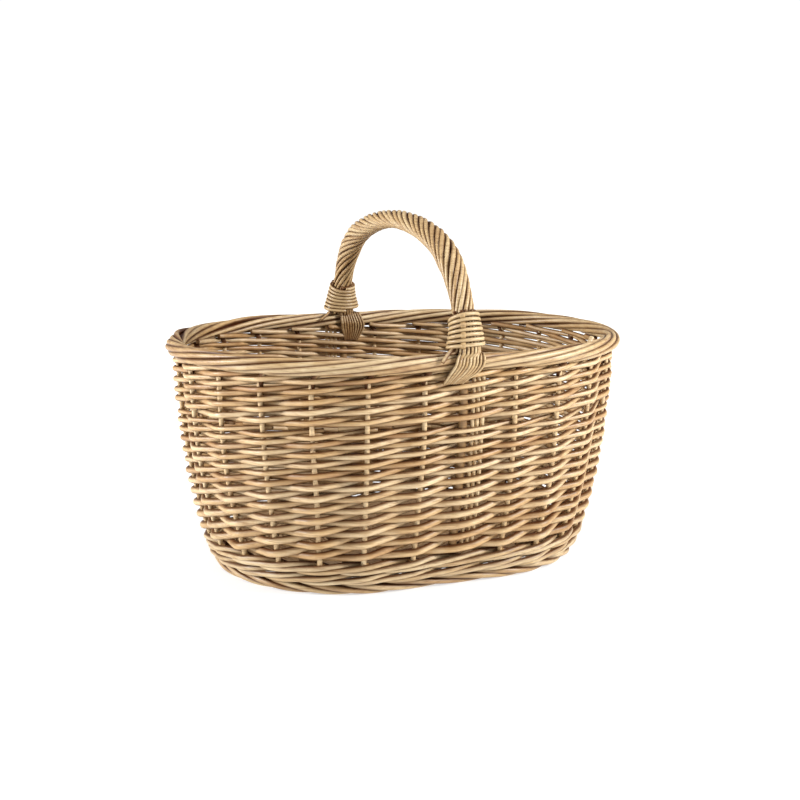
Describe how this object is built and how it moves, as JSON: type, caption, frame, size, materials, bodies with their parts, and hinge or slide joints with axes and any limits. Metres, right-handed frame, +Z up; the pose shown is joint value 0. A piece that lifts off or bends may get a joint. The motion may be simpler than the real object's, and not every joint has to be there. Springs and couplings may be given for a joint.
{
  "type": "woven willow market basket",
  "caption": "Oval buff willow shopping basket with sloping woven walls, a rolled border at rim and foot, and a fixed roped handle across the middle.",
  "frame": {"origin": "on the floor, under the middle of the basket's footprint", "axes": "+X along the basket's length, +Y across it from the front foot of the handle to the back one, +Z up"},
  "size_m": [0.459, 0.3598, 0.3448],
  "materials": {
    "base": "dry buff willow, matt",
    "border": "buff willow with a satin skin",
    "stakes": "buff willow with a satin skin",
    "siding": "buff willow with a satin skin, darker at the tips",
    "handle": "buff willow with a satin skin"
  },
  "bodies": {
    "root": {"base_long_sticks": "base", "base_short_sticks": "base", "base_core_binding": "base", "base_weave": "base", "foot_border": "border", "upsett_wale_lower": "border", "upsett_wale_upper": "border", "rim_border": "border", "foot_sticks": "stakes", "side_stakes": "stakes", "handle_liners_front": "stakes", "handle_liners_back": "stakes", "siding_lower": "siding", "siding_tips": "siding", "siding_upper": "siding", "handle_bow": "handle", "handle_rope_rods": "handle", "handle_binding_front": "handle", "handle_binding_back": "handle", "handle_listing_front": "handle", "handle_listing_back": "handle", "lacing_front_outer": "handle", "lacing_front_inner": "handle", "lacing_back_outer": "handle", "lacing_back_inner": "handle"}
  },
  "joints": []
}
